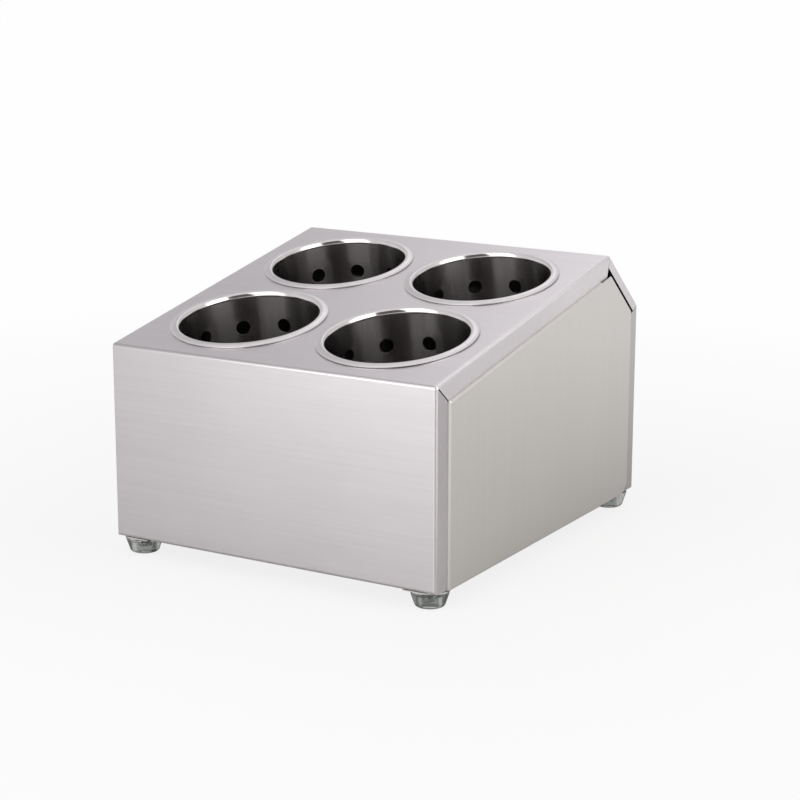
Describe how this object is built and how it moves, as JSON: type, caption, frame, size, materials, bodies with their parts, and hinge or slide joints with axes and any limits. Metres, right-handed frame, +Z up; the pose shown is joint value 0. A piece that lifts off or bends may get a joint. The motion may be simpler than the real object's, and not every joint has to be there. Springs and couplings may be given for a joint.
{
  "type": "cutlery holder",
  "caption": "Free-standing stainless cutlery holder: a bent-sheet casing with a sloping top that carries lift-out perforated round cups, closed by side panels, on clear tapered feet.",
  "frame": {"origin": "on the counter under the middle of the holder's footprint", "axes": "+Z up, -Y out of the low front face, +X to the right as seen from the front"},
  "size_m": [0.265, 0.305, 0.1998],
  "materials": {
    "casing_steel": "fine level brushing",
    "panel_steel": "fine upright brushing",
    "cup_steel": "polished, faintly streaked down the wall",
    "foot_plastic": "clear greyish plastic",
    "fastener_steel": "plain zinc plate"
  },
  "bodies": {
    "stand": {"casing": "casing_steel", "left_side_panel": "panel_steel", "right_side_panel": "panel_steel", "front_left_foot": "foot_plastic", "front_right_foot": "foot_plastic", "rear_left_foot": "foot_plastic", "rear_right_foot": "foot_plastic", "foot_screws": "fastener_steel", "foot_washers": "fastener_steel", "foot_nuts": "fastener_steel"},
    "front_left_cup": {"front_left_cup_wall": "cup_steel", "front_left_cup_base": "cup_steel"},
    "front_right_cup": {"front_right_cup_wall": "cup_steel", "front_right_cup_base": "cup_steel"},
    "rear_left_cup": {"rear_left_cup_wall": "cup_steel", "rear_left_cup_base": "cup_steel"},
    "rear_right_cup": {"rear_right_cup_wall": "cup_steel", "rear_right_cup_base": "cup_steel"}
  },
  "joints": [
    {"name": "front_left_cup_lift", "type": "slide", "parent": "stand", "child": "front_left_cup", "axis": [0, -0.1835, 0.983], "range_m": [0, 0.142]},
    {"name": "front_right_cup_lift", "type": "slide", "parent": "stand", "child": "front_right_cup", "axis": [0, -0.1835, 0.983], "range_m": [0, 0.142]},
    {"name": "rear_left_cup_lift", "type": "slide", "parent": "stand", "child": "rear_left_cup", "axis": [0, -0.1835, 0.983], "range_m": [0, 0.142]},
    {"name": "rear_right_cup_lift", "type": "slide", "parent": "stand", "child": "rear_right_cup", "axis": [0, -0.1835, 0.983], "range_m": [0, 0.142]}
  ]
}
